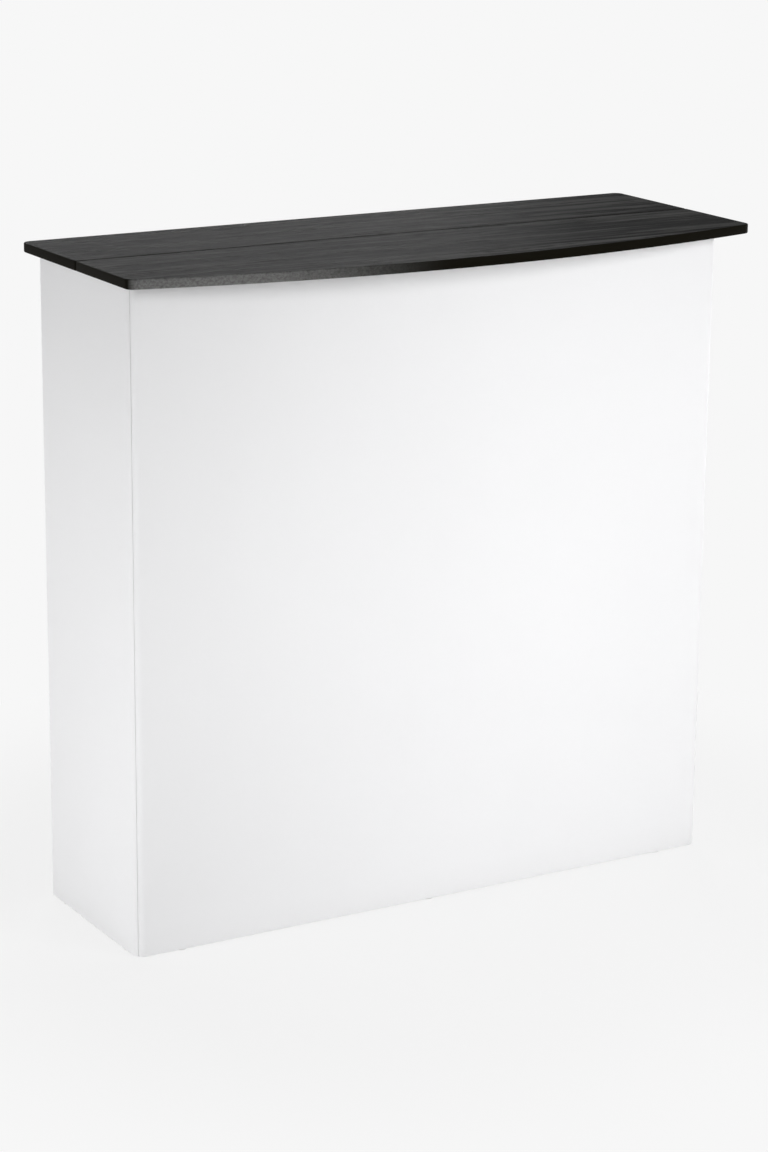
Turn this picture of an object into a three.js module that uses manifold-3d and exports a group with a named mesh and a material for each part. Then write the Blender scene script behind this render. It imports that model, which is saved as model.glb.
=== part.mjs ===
// Folding portable bar: a flat front panel with two mitred wings that fold in behind it, two drop-down
// shelves, and a bowed worktop in two hinged leaves that lifts off. Millimetres, X along the bar,
// -Y towards the guests, Z up. The origin is on the floor, under the middle of the worktop.

import * as THREE from 'three';
import { mergeVertices } from 'three/addons/utils/BufferGeometryUtils.js';
import Module from 'manifold-3d';

// Body
const BAR_HEIGHT = 1065;
const BODY_WIDTH = 1050;
const BODY_DEPTH = 312;
const PANEL_THICKNESS = 18;
const CORNER_RADIUS = 16;
const MITRE_GAP = 0.6;
const WING_EDGE_RADIUS = 4;

// Worktop
const TOP_THICKNESS = 15;
const END_OVERHANG = 25;
const BACK_OVERHANG = 11;
const FRONT_OVERHANG = 51;
const TOP_BOW = 66;
const TOP_CORNER_RADIUS = 14;
const BACK_LEAF_DEPTH = 197;
const SEAM_GAP = 1;
const SEAM_CORNER_RADIUS = 3;
const EDGING_THICKNESS = 2;

// Drop-down shelves, with the battens that carry them and the cleats that hold them level
const SHELF_THICKNESS = 10;
const SHELF_SETBACK = 50;
const SHELF_END_GAP = 3;
const SHELF_CORNER_RADIUS = 12;
const SHELF_LIFT = 4;
const BATTEN_RISE = 2;
const BATTEN_MARGIN = 10;
const CLEAT_DEPTH = 15;
const CLEAT_HEIGHT = 22;
const CLEAT_INSET = 25;

// Hinges: butt hinges on the wings, piano hinges on the shelves and the worktop
const PIN_RADIUS = 1.6;
const BARREL_WALL = 1.1;
const PIN_HEAD_RADIUS = 2.6;
const PIN_HEAD_HEIGHT = 1.2;
const LEAF_THICKNESS = 1.5;
const BUTT_LENGTH = 50;
const BUTT_LEAF_WIDTH = 30;
const BUTT_KNUCKLES = 5;
const PIANO_LEAF_WIDTH = 24;
const PIANO_KNUCKLES = 15;
const HINGE_BLOCK_MARGIN = 5;
const HINGE_BAY = 100;

// Locating dowels and floor glides
const DOWEL_RADIUS = 4;
const DOWEL_DEPTH = 25;
const DOWEL_RISE = 8;
const DOWEL_SPACING = 700;
const GLIDE_RADIUS = 8;
const GLIDE_HEIGHT = 2;
const GLIDE_STEM_RADIUS = 3;
const GLIDE_STEM_LENGTH = 14;
const FRONT_GLIDE_INSET = 80;
const WING_GLIDE_INSET = 45;

// Clearances
const SEAT_GAP = 0.1;
const REST_GAP = 0.5;
const STOW_GAP = 0.5;
const FOLD_CLEARANCE = 4;
const WING_SWEEP_GAP = 8;
const PIN_CLEARANCE = 0.3;
const KNUCKLE_GAP = 0.4;
const NOTCH_GAP = 0.5;
const HOLE_CLEARANCE = 0.4;
const GLUE_LINE = 0.15;

// Facets of round work
const CORNER_STEPS = 6;
const BOW_STEPS = 28;
const BARREL_SIDES = 10;
const PIN_SIDES = 8;
const HOLE_SIDES = 16;

// Levels
const topUnderside = BAR_HEIGHT - TOP_THICKNESS;
const bodyTop = topUnderside - REST_GAP;
const bodyBottom = GLIDE_HEIGHT + SEAT_GAP;

// Plan of the worktop and of the body below it
const topHalf = BODY_WIDTH / 2 + END_OVERHANG;
const topDepth = FRONT_OVERHANG + BODY_DEPTH + BACK_OVERHANG + TOP_BOW;
const topBack = topDepth / 2;
const bowRadius = (topHalf ** 2 + TOP_BOW ** 2) / (2 * TOP_BOW);
const bowCentreY = -topDepth / 2 + bowRadius;
const seamY = topBack - BACK_LEAF_DEPTH;
const bodyHalf = BODY_WIDTH / 2;
const bodyBack = topBack - BACK_OVERHANG;
const bodyFront = bodyBack - BODY_DEPTH;
const panelInner = bodyFront + PANEL_THICKNESS;
const panelMiddle = bodyFront + PANEL_THICKNESS / 2;
const wingInner = bodyHalf - PANEL_THICKNESS;
const wingMiddle = bodyHalf - PANEL_THICKNESS / 2;

// A knuckle stands clear of the seat of its leaf, and a leaf's plate starts clear of the other's knuckles.
const boreRadius = PIN_RADIUS + PIN_CLEARANCE;
const barrelRadius = boreRadius + BARREL_WALL;
const barrelOffset = barrelRadius + SEAT_GAP;
const plateStart = barrelRadius + NOTCH_GAP;

// A folded wing lies over the stowed shelves, with its cleats clear of the front panel.
const foldedGap = Math.max(STOW_GAP + SHELF_THICKNESS, CLEAT_DEPTH) + FOLD_CLEARANCE;
const wingPinX = wingInner - barrelOffset;
const wingPinY = panelInner + foldedGap - barrelOffset;
const foldedTipX = wingPinX - (bodyBack - wingPinY);
const pianoLength = 2 * (foldedTipX - WING_SWEEP_GAP);

// The shelves stow upright against the front panel, with a bay for a wing hinge above each.
const shelfFace = panelInner + STOW_GAP + SHELF_THICKNESS;
const shelfPinY = shelfFace + barrelOffset;
const shelfHalf = wingInner - SHELF_END_GAP;
const shelfDepth = bodyBack - SHELF_SETBACK - (shelfPinY + SHELF_LIFT);
const upperShelfTop = bodyTop - HINGE_BAY;
const upperPinZ = upperShelfTop - shelfDepth - SHELF_LIFT;
const battenDrop = PIANO_LEAF_WIDTH + BATTEN_MARGIN;
const lowerShelfTop = upperPinZ - battenDrop - HINGE_BAY;
const lowerPinZ = lowerShelfTop - shelfDepth - SHELF_LIFT;
const cleatRise = barrelOffset - REST_GAP;

const SHELVES = [
  { name: 'lower', pinZ: lowerPinZ },
  { name: 'upper', pinZ: upperPinZ },
];
const WING_HINGES = [
  { name: 'lower', z: (bodyBottom + lowerPinZ + cleatRise - CLEAT_HEIGHT) / 2 },
  { name: 'middle', z: lowerShelfTop + HINGE_BAY / 2 },
  { name: 'upper', z: upperShelfTop + HINGE_BAY / 2 },
];
const WINGS = [
  { name: 'left', side: -1 },
  { name: 'right', side: 1 },
];

const wasm = await Module();
wasm.setup();

function finish(color, roughness, metalness) {
  return () => new THREE.MeshStandardMaterial({ color, roughness, metalness });
}

const whiteLaminate = finish(0xeeeef1, 0.45, 0);
const blackWoodgrain = finish(0x3a3938, 0.55, 0);
const blackEdging = finish(0x151412, 0.4, 0);
const zincSteel = finish(0xb9bcc0, 0.35, 1);
const beech = finish(0xd2ab78, 0.6, 0);
const glidePlastic = finish(0xd8d8d6, 0.5, 0);

function named(name, geometry, material) {
  const mesh = new THREE.Mesh(geometry, material());
  mesh.name = name;
  return mesh;
}

function solidOf(geometry) {
  geometry.deleteAttribute('normal');
  geometry.deleteAttribute('uv');
  const merged = mergeVertices(geometry);
  return new wasm.Manifold(new wasm.Mesh({
    numProp: 3,
    vertProperties: new Float32Array(merged.attributes.position.array),
    triVerts: new Uint32Array(merged.index.array),
  }));
}

function geometryOf(solid) {
  const { vertProperties, triVerts } = solid.getMesh();
  const geometry = new THREE.BufferGeometry();
  geometry.setAttribute('position', new THREE.BufferAttribute(vertProperties, 3));
  geometry.setIndex(new THREE.BufferAttribute(triVerts, 1));
  geometry.computeVertexNormals();
  return geometry;
}

function cut(geometry, tools) {
  const body = tools.reduce((solid, tool) => solid.subtract(solidOf(tool)), solidOf(geometry));
  return geometryOf(body);
}

// Points on a circular arc, angles in degrees.
function arc(x, y, radius, start, end, steps = CORNER_STEPS) {
  return Array.from({ length: steps + 1 }, (_, i) => {
    const angle = THREE.MathUtils.degToRad(start + ((end - start) * i) / steps);
    return new THREE.Vector2(x + radius * Math.cos(angle), y + radius * Math.sin(angle));
  });
}

function mirrored(points) {
  return points.map((point) => new THREE.Vector2(-point.x, point.y)).reverse();
}

function prism(outline, low, high, hole) {
  const shape = new THREE.Shape(outline);
  if (hole) shape.holes.push(new THREE.Path(hole));
  const geometry = new THREE.ExtrudeGeometry(shape, { depth: high - low, bevelEnabled: false });
  return geometry.translate(0, 0, low);
}

function block(x, y, z) {
  const geometry = new THREE.BoxGeometry(x[1] - x[0], y[1] - y[0], z[1] - z[0]);
  return geometry.translate((x[0] + x[1]) / 2, (y[0] + y[1]) / 2, (z[0] + z[1]) / 2);
}

// An upright cylinder; its facets lie inside the radius.
function upright(radius, low, high, sides, x = 0, y = 0) {
  const geometry = new THREE.CylinderGeometry(radius, radius, high - low, sides);
  return geometry.rotateX(Math.PI / 2).translate(x, y, (low + high) / 2);
}

// An interval on the X axis, mirrored for the left side.
function onSide(side, near, far) {
  return side > 0 ? [near, far] : [-far, -near];
}

// One leaf of a knuckle hinge. The barrel lies along Z, the plate runs out along +X and seats on its
// -Y face. The two leaves of a hinge have alternate knuckles, and the plate is notched for the others.
function hingeLeaf(length, width, knuckles, first) {
  const pitch = length / knuckles;
  const plate = [-barrelRadius, LEAF_THICKNESS - barrelRadius];
  let leaf = solidOf(block([plateStart, width], plate, [-length / 2, length / 2]));
  for (let i = first; i < knuckles; i += 2) {
    const low = -length / 2 + i * pitch + KNUCKLE_GAP / 2;
    const high = low + pitch - KNUCKLE_GAP;
    const web = block([0, plateStart + LEAF_THICKNESS], plate, [low, high]);
    leaf = leaf.add(solidOf(web)).add(solidOf(upright(barrelRadius, low, high, BARREL_SIDES)));
  }
  const bore = upright(boreRadius, -length, length, PIN_SIDES);
  return geometryOf(leaf.subtract(solidOf(bore)));
}

// Turns a hinge leaf so that its plate runs along plateAxis and seats towards seatAxis.
function placeLeaf(mesh, plateAxis, seatAxis, position) {
  const inward = new THREE.Vector3(...seatAxis).negate();
  const outward = new THREE.Vector3(...plateAxis);
  const along = new THREE.Vector3().crossVectors(outward, inward);
  mesh.quaternion.setFromRotationMatrix(new THREE.Matrix4().makeBasis(outward, inward, along));
  mesh.position.set(...position);
  return mesh;
}

// A turned piece, from [radius, height] steps that start and end on its axis.
function turned(profile, sides) {
  const points = profile.map(([radius, height]) => new THREE.Vector2(radius, height));
  return new THREE.LatheGeometry(points, sides).rotateX(Math.PI / 2);
}

function headedPin(length) {
  const seat = length / 2 + SEAT_GAP;
  return turned([
    [0, -length / 2],
    [PIN_RADIUS, -length / 2],
    [PIN_RADIUS, seat],
    [PIN_HEAD_RADIUS, seat],
    [PIN_HEAD_RADIUS, seat + PIN_HEAD_HEIGHT],
    [0, seat + PIN_HEAD_HEIGHT],
  ], PIN_SIDES);
}

function plainPin(length) {
  return upright(PIN_RADIUS, -length / 2, length / 2, PIN_SIDES).rotateY(Math.PI / 2);
}

// A glide is a disc on the floor with an eased rim and a stem that plugs into the panel above it.
function glide(name, x, y) {
  const rim = GLIDE_HEIGHT / 3;
  const geometry = turned([
    [0, 0],
    [GLIDE_RADIUS - rim, 0],
    [GLIDE_RADIUS, rim],
    [GLIDE_RADIUS, GLIDE_HEIGHT],
    [GLIDE_STEM_RADIUS, GLIDE_HEIGHT],
    [GLIDE_STEM_RADIUS, GLIDE_HEIGHT + GLIDE_STEM_LENGTH],
    [0, GLIDE_HEIGHT + GLIDE_STEM_LENGTH],
  ], HOLE_SIDES);
  const mesh = named(name, geometry, glidePlastic);
  mesh.position.set(x, y, 0);
  return mesh;
}

function glideHole(x, y) {
  const end = GLIDE_HEIGHT + GLIDE_STEM_LENGTH + HOLE_CLEARANCE;
  return upright(GLIDE_STEM_RADIUS + HOLE_CLEARANCE, 0, end, HOLE_SIDES, x, y);
}

// The wing and the front panel meet on a 45 degree mitre through the middle of the rounded corner.
const cornerX = bodyHalf - CORNER_RADIUS;
const cornerY = bodyFront + CORNER_RADIUS;
const mitreTurn = THREE.MathUtils.radToDeg(Math.asin(MITRE_GAP / (2 * CORNER_RADIUS)));
const mitreShift = MITRE_GAP / Math.SQRT2;

const FRONT_GLIDES = [
  { name: 'left', x: FRONT_GLIDE_INSET - bodyHalf },
  { name: 'middle', x: 0 },
  { name: 'right', x: bodyHalf - FRONT_GLIDE_INSET },
];
const WING_GLIDES = [
  { name: 'front', y: bodyFront + WING_GLIDE_INSET },
  { name: 'rear', y: bodyBack - WING_GLIDE_INSET },
];

function frontPanel() {
  const rightEnd = [
    ...arc(cornerX, cornerY, CORNER_RADIUS, -90, -45 - mitreTurn),
    new THREE.Vector2(wingInner - mitreShift, panelInner),
  ];
  const outline = [...rightEnd, ...mirrored(rightEnd)];
  const holes = FRONT_GLIDES.map(({ x }) => glideHole(x, panelMiddle));
  const dowelHoleRadius = DOWEL_RADIUS + HOLE_CLEARANCE;
  const dowelHoleEnd = bodyTop - DOWEL_DEPTH - HOLE_CLEARANCE;
  for (const { side } of WINGS) {
    const x = (side * DOWEL_SPACING) / 2;
    holes.push(upright(dowelHoleRadius, dowelHoleEnd, topUnderside, HOLE_SIDES, x, panelMiddle));
  }
  return named('front_panel', cut(prism(outline, bodyBottom, bodyTop), holes), whiteLaminate);
}

function dowel({ name, side }) {
  const geometry = upright(DOWEL_RADIUS, bodyTop - DOWEL_DEPTH, bodyTop + DOWEL_RISE, HOLE_SIDES);
  const mesh = named(`${name}_top_dowel`, geometry, beech);
  mesh.position.set((side * DOWEL_SPACING) / 2, panelMiddle, 0);
  return mesh;
}

// The fixed half of one wing hinge: its block on the front panel, the leaf on the block, and the pin.
function fixedHinge({ name, side }, hinge) {
  const blockStart = wingPinX - BUTT_LEAF_WIDTH - HINGE_BLOCK_MARGIN;
  const blockGeometry = block(
    onSide(side, blockStart, wingPinX - plateStart),
    [panelInner + SEAT_GAP, wingPinY - barrelOffset],
    [hinge.z - BUTT_LENGTH / 2, hinge.z + BUTT_LENGTH / 2],
  );
  const axis = [side * wingPinX, wingPinY, hinge.z];
  const leaf = hingeLeaf(BUTT_LENGTH, BUTT_LEAF_WIDTH, BUTT_KNUCKLES, 0);
  const leafMesh = named(`${name}_hinge_fixed_leaf_${hinge.name}`, leaf, zincSteel);
  const pin = named(`${name}_hinge_pin_${hinge.name}`, headedPin(BUTT_LENGTH), zincSteel);
  pin.position.set(...axis);
  return [
    named(`${name}_hinge_block_${hinge.name}`, blockGeometry, whiteLaminate),
    placeLeaf(leafMesh, [-side, 0, 0], [0, -1, 0], axis),
    pin,
  ];
}

// The fixed half of a shelf hinge: its batten on the front panel, the lower leaf, and the pin.
function shelfMount({ name, pinZ }) {
  const batten = block(
    [-pianoLength / 2, pianoLength / 2],
    [panelInner + SEAT_GAP, shelfFace],
    [pinZ - battenDrop, pinZ + BATTEN_RISE],
  );
  const axis = [0, shelfPinY, pinZ];
  const leaf = hingeLeaf(pianoLength, PIANO_LEAF_WIDTH, PIANO_KNUCKLES, 0);
  const leafMesh = named(`${name}_shelf_hinge_fixed_leaf`, leaf, zincSteel);
  const pin = named(`${name}_shelf_hinge_pin`, plainPin(pianoLength), zincSteel);
  pin.position.set(...axis);
  return [
    named(`${name}_shelf_batten`, batten, whiteLaminate),
    placeLeaf(leafMesh, [0, 0, -1], [0, -1, 0], axis),
    pin,
  ];
}

function frontBody() {
  return [
    frontPanel(),
    ...WINGS.map(dowel),
    ...FRONT_GLIDES.map(({ name, x }) => glide(`front_glide_${name}`, x, panelMiddle)),
    ...WINGS.flatMap((wing) => WING_HINGES.flatMap((hinge) => fixedHinge(wing, hinge))),
    ...SHELVES.flatMap(shelfMount),
  ];
}

function wingPanel({ name, side }) {
  const rearY = bodyBack - WING_EDGE_RADIUS;
  const rightWing = [
    new THREE.Vector2(wingInner, panelInner + mitreShift),
    ...arc(cornerX, cornerY, CORNER_RADIUS, -45 + mitreTurn, 0),
    ...arc(bodyHalf - WING_EDGE_RADIUS, rearY, WING_EDGE_RADIUS, 0, 90),
    ...arc(wingInner + WING_EDGE_RADIUS, rearY, WING_EDGE_RADIUS, 90, 180),
  ];
  const outline = side > 0 ? rightWing : mirrored(rightWing);
  const holes = WING_GLIDES.map(({ y }) => glideHole(side * wingMiddle, y));
  return named(`${name}_wing_panel`, cut(prism(outline, bodyBottom, bodyTop), holes), whiteLaminate);
}

function cleat({ name, side }, shelf) {
  const shelfStart = shelfPinY + SHELF_LIFT;
  const top = shelf.pinZ + cleatRise;
  const geometry = block(
    onSide(side, wingInner - SEAT_GAP - CLEAT_DEPTH, wingInner - SEAT_GAP),
    [shelfStart + CLEAT_INSET, shelfStart + shelfDepth - CLEAT_INSET],
    [top - CLEAT_HEIGHT, top],
  );
  return named(`${name}_${shelf.name}_shelf_cleat`, geometry, whiteLaminate);
}

function wingLeaf({ name, side }, hinge) {
  const leaf = hingeLeaf(BUTT_LENGTH, BUTT_LEAF_WIDTH, BUTT_KNUCKLES, 1);
  const mesh = named(`${name}_hinge_wing_leaf_${hinge.name}`, leaf, zincSteel);
  return placeLeaf(mesh, [0, 1, 0], [side, 0, 0], [side * wingPinX, wingPinY, hinge.z]);
}

function wingBody(wing) {
  return [
    wingPanel(wing),
    ...WING_HINGES.map((hinge) => wingLeaf(wing, hinge)),
    ...SHELVES.map((shelf) => cleat(wing, shelf)),
    ...WING_GLIDES.map(({ name, y }) => glide(`${wing.name}_glide_${name}`, wing.side * wingMiddle, y)),
  ];
}

// A shelf with rounded free corners, drawn flat and stood up against the front panel.
function shelfBody({ name, pinZ }) {
  const corner = shelfHalf - SHELF_CORNER_RADIUS;
  const rightSide = [
    new THREE.Vector2(shelfHalf, 0),
    ...arc(corner, shelfDepth - SHELF_CORNER_RADIUS, SHELF_CORNER_RADIUS, 0, 90),
  ];
  const board = prism([...rightSide, ...mirrored(rightSide)], 0, SHELF_THICKNESS).rotateX(Math.PI / 2);
  board.translate(0, shelfFace, pinZ + SHELF_LIFT);
  const leaf = hingeLeaf(pianoLength, PIANO_LEAF_WIDTH, PIANO_KNUCKLES, 1);
  const leafMesh = named(`${name}_shelf_hinge_leaf`, leaf, zincSteel);
  return [
    named(`${name}_shelf`, board, whiteLaminate),
    placeLeaf(leafMesh, [0, 0, 1], [0, -1, 0], [0, shelfPinY, pinZ]),
  ];
}

// The radius that a rounded corner has on an outline drawn inset from it.
function insetRadius(radius, inset) {
  return Math.max(radius - inset, GLUE_LINE);
}

// Outline of the front leaf, drawn inset from its finished edge: a straight seam and a bowed front.
function frontLeafOutline(inset) {
  const half = topHalf - inset;
  const seamEdge = seamY - SEAM_GAP / 2 - inset;
  const seamRadius = insetRadius(SEAM_CORNER_RADIUS, inset);
  const radius = insetRadius(TOP_CORNER_RADIUS, inset);
  const bow = bowRadius - inset;
  const x = half - radius;
  const y = bowCentreY - Math.sqrt((bow - radius) ** 2 - x ** 2);
  const bowEnd = THREE.MathUtils.radToDeg(Math.atan2(y - bowCentreY, x));
  const rightEnd = [
    ...arc(x, y, radius, bowEnd, 0),
    ...arc(half - seamRadius, seamEdge - seamRadius, seamRadius, 0, 90),
  ];
  const bowFront = arc(0, bowCentreY, bow, -180 - bowEnd, bowEnd, BOW_STEPS).slice(1, -1);
  return [...rightEnd, ...mirrored(rightEnd), ...bowFront];
}

// Outline of the back leaf: a rectangle with small corners at the seam and larger ones behind.
function backLeafOutline(inset) {
  const half = topHalf - inset;
  const seamEdge = seamY + SEAM_GAP / 2 + inset;
  const seamRadius = insetRadius(SEAM_CORNER_RADIUS, inset);
  const radius = insetRadius(TOP_CORNER_RADIUS, inset);
  const rightEnd = [
    ...arc(half - seamRadius, seamEdge + seamRadius, seamRadius, -90, 0),
    ...arc(half - radius, topBack - inset - radius, radius, 0, 90),
  ];
  return [...rightEnd, ...mirrored(rightEnd)];
}

// One leaf of the worktop: the board, the edging glued round it, and its half of the hinge below.
function topLeaf(name, outline, plateAxis, firstKnuckle, dowelHoles) {
  const core = outline(EDGING_THICKNESS + GLUE_LINE);
  const board = prism(core, topUnderside, BAR_HEIGHT);
  const edging = prism(outline(0), topUnderside, BAR_HEIGHT, outline(EDGING_THICKNESS));
  const leaf = hingeLeaf(pianoLength, PIANO_LEAF_WIDTH, PIANO_KNUCKLES, firstKnuckle);
  const leafMesh = named(`top_hinge_${name}_leaf`, leaf, zincSteel);
  return [
    named(`${name}_top_leaf`, dowelHoles.length ? cut(board, dowelHoles) : board, blackWoodgrain),
    named(`${name}_top_edging`, edging, blackEdging),
    placeLeaf(leafMesh, plateAxis, [0, 0, 1], [0, seamY, topUnderside - barrelOffset]),
  ];
}

function topFrontBody() {
  const holeEnd = bodyTop + DOWEL_RISE + HOLE_CLEARANCE;
  const dowelHoles = WINGS.map(({ side }) => {
    const x = (side * DOWEL_SPACING) / 2;
    return upright(DOWEL_RADIUS + HOLE_CLEARANCE, bodyTop, holeEnd, HOLE_SIDES, x, panelMiddle);
  });
  const pin = named('top_hinge_pin', plainPin(pianoLength), zincSteel);
  pin.position.set(0, seamY, topUnderside - barrelOffset);
  return [...topLeaf('front', frontLeafOutline, [0, -1, 0], 0, dowelHoles), pin];
}

function topBackBody() {
  return topLeaf('back', backLeafOutline, [0, 1, 0], 1, []);
}

const bar = new THREE.Group();
const bodies = [
  frontBody(),
  ...WINGS.map(wingBody),
  ...SHELVES.map(shelfBody),
  topFrontBody(),
  topBackBody(),
];
for (const meshes of bodies) {
  const body = new THREE.Group();
  body.add(...meshes);
  bar.add(body);
}

export default bar;
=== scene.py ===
import math

import bpy
import numpy as np
from mathutils import Matrix, Vector


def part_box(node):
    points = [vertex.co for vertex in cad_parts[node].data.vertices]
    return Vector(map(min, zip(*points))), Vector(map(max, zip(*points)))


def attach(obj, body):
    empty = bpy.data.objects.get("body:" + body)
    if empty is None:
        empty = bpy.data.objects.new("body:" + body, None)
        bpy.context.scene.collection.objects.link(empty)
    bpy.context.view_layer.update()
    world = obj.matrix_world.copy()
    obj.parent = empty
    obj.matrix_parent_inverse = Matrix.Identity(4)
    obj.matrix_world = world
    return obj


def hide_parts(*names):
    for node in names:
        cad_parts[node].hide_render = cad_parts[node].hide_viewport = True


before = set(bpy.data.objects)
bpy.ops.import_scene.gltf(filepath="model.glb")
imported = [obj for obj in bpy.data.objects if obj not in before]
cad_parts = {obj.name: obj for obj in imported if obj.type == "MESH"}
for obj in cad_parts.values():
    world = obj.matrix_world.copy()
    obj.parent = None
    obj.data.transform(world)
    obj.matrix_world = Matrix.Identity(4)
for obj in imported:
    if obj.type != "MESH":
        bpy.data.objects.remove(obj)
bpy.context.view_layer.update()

MM = 0.001

# Shapes of the boards
CORNER_RADIUS = 16 * MM
MITRE_GAP = 0.6 * MM
WING_EDGE_RADIUS = 4 * MM
TOP_BOW = 66 * MM
TOP_CORNER_RADIUS = 14 * MM
SEAM_CORNER_RADIUS = 3 * MM
SHELF_CORNER_RADIUS = 12 * MM
PANEL_EASE = 0.8 * MM
SHELF_EASE = 1.5 * MM
BLOCK_EASE = 1.0 * MM
BLOCK_CORNER = 1.2 * MM
EDGING_EASE = 1.9 * MM
TOP_EASE = 0.12 * MM
BAND_WIDTH = 2.0 * MM
LAND = 0.4 * MM
HOLE_CLEARANCE = 0.4 * MM

# Edges sharper than this many degrees stay sharp, and faces over this many square metres are shaded flat
SHARP_ANGLE = 40
BROAD_FACE = 0.005

# Dowels and glides
DOWEL_CHAMFER = 1.0 * MM
DOWEL_FLUTES = 24
FLUTE_DEPTH = 0.05
GLIDE_STEM_RADIUS = 3 * MM
GLIDE_DISC = 2.0 * MM
GLIDE_RIM = 0.7 * MM

# Painted shade and wear on the worktop, full up to the first value and gone after the second: the distance
# of the painted seam shade from the seam, and where the front edge's grey patch, part scuffs and part
# painted highlight, ends along y and x
SEAM_SHADE_REACH = (3 * MM, 9 * MM)
SCUFF_AND_HIGHLIGHT_FROM_Y = (-0.158, -0.15)
SCUFF_AND_HIGHLIGHT_FADE_X = (-0.4, -0.04)
FOOT_HEIGHT = 50 * MM

# Shapes of the hinges and their screws
LEAF_THICKNESS = 1.5 * MM
BARREL_RADIUS = 3.0 * MM
BORE_RADIUS = 1.9 * MM
PIN_RADIUS = 1.6 * MM
PIN_SOFT = 0.4 * MM
PIN_HEAD_HEIGHT = 1.2 * MM
PIN_HEAD_EDGE = 0.1 * MM
PIN_CROWN = 0.5 * MM
NOTCH_GAP = 0.5 * MM
KNUCKLE_GAP = 0.4 * MM
BUTT_KNUCKLES = 5
PIANO_KNUCKLES = 15
BUTT_SCREWS = 3
PIANO_SCREWS = 7
LEAF_CORNER = 2.0 * MM
LEAF_EASE = 0.25 * MM
KNUCKLE_EASE = 0.08 * MM
KNUCKLE_INSET = 0.02 * MM
CURL_END = -325
SCREW_RADIUS = 3.3 * MM
SCREW_RISE = 0.45 * MM
SCREW_SUNK = 0.4 * MM
SLOT_HALF_WIDTH = 0.5 * MM
SLOT_HALF_LENGTH = 2.1 * MM
SLOT_DEPTH = 0.5 * MM
SLOT_SIDE_SLOPE = 0.3 * MM
SLOT_END_SLOPE = 0.4 * MM
SCREW_RINGS = (1, 1, 0.94, 0.82, 0.7, 0.58, 0.46, 0.34, 0.22, 0.1)
CLEAT_SCREW_INSET = 30 * MM

# The photograph's camera, fitted to the edges of the worktop and of the body
EYE = (-2.4759, -4.1781, 1.8631)
YAW = math.radians(30.326)
PITCH = math.radians(15.499)
ROLL = math.radians(0.499)
LENS = 98.54
SENSOR = 36.0
FAR_CLIP = 200.0


def linear(code):
    """Turns an sRGB hex colour into linear red, green, blue and alpha."""
    value = np.array([int(code[i:i + 2], 16) for i in (1, 3, 5)]) / 255
    low = value / 12.92
    high = ((value + 0.055) / 1.055) ** 2.4
    return (*np.where(value <= 0.04045, low, high).tolist(), 1.0)


def arc(x, y, radius, start, end, count=13):
    """Points on a circle about (x, y), from the start angle to the end angle in degrees."""
    angle = np.radians(np.linspace(start, end, count))
    return np.stack([x + radius * np.cos(angle), y + radius * np.sin(angle)], 1)


def mirrored(outline):
    """The outline reflected in its second axis, run backwards so that it still turns the same way."""
    return (outline * (-1, 1))[::-1]


def inset(outline, distance):
    """Moves a closed anticlockwise outline inwards: a corner goes along the bisector of its two edges."""
    edge = np.roll(outline, -1, 0) - outline
    edge = edge / np.linalg.norm(edge, axis=1, keepdims=True)
    ahead = np.stack([-edge[:, 1], edge[:, 0]], 1)
    behind = np.roll(ahead, 1, 0)
    return outline + distance * (ahead + behind) / (1 + (ahead * behind).sum(1, keepdims=True))


def loft(rings, capped=True):
    """A skin over rings of equal count: quads join each ring to the next, flat caps close the ends,
    and an uncapped loft joins its last ring to its first."""
    rows, columns = rings.shape[:2]
    index = np.arange(rows * columns).reshape(rows, columns)
    low = index[:-1] if capped else index
    high = index[1:] if capped else np.roll(index, -1, 0)
    quads = np.stack([low, np.roll(low, -1, 1), np.roll(high, -1, 1), high], -1).reshape(-1, 4)
    faces = quads.tolist()
    if capped:
        faces += [index[0, ::-1].tolist(), index[-1].tolist()]
    return rings.reshape(-1, 3), faces


def turned_to(rings, axis):
    """Rings drawn as (u, v, height), turned so that the height runs along the named axis."""
    return np.roll(rings, {"z": 0, "x": 1, "y": 2}[axis], axis=-1)


def stacked(outline, insets, heights):
    """Rings of one outline, each moved inwards by its own inset and lifted to its own height."""
    level = np.ones(len(outline))
    return np.array([np.column_stack([inset(outline, i), h * level]) for i, h in zip(insets, heights)])


def eased_board(outline, span, ease, axis="z", steps=5):
    """A board with quarter-round edges: the outline is inset by ease(1 - sin t) on its way up to the
    full size and by ease(1 - cos t) on its way in again, and a narrow land keeps each face flat."""
    low, high = span
    turn = np.linspace(0, math.pi / 2, steps)
    land = [ease + LAND]
    insets = np.concatenate([land, ease * (1 - np.sin(turn)), ease * (1 - np.cos(turn)), land])
    rise = np.concatenate([[0], ease * (1 - np.cos(turn))])
    heights = np.concatenate([low + rise, high - rise[::-1]])
    return loft(turned_to(stacked(outline, insets, heights), axis))


def rectangle(u, v, radius, count=5):
    """An anticlockwise rectangle with rounded corners."""
    return np.concatenate([
        arc(u[1] - radius, v[0] + radius, radius, -90, 0, count),
        arc(u[1] - radius, v[1] - radius, radius, 0, 90, count),
        arc(u[0] + radius, v[1] - radius, radius, 90, 180, count),
        arc(u[0] + radius, v[0] + radius, radius, 180, 270, count),
    ])


def lathe(profile, count=32, flutes=0, flute_depth=0.0):
    """A turned piece: each (radius, height) step of the profile is a ring, which flutes can make wavy."""
    angle = np.linspace(0, 2 * math.pi, count, endpoint=False)
    radius, height = np.array(profile).T
    wave = 1 - flute_depth * (0.5 - 0.5 * np.cos(flutes * angle))
    rings = np.empty((len(profile), count, 3))
    rings[..., 0] = radius[:, None] * wave * np.cos(angle)
    rings[..., 1] = radius[:, None] * wave * np.sin(angle)
    rings[..., 2] = height[:, None]
    return loft(rings)


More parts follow.
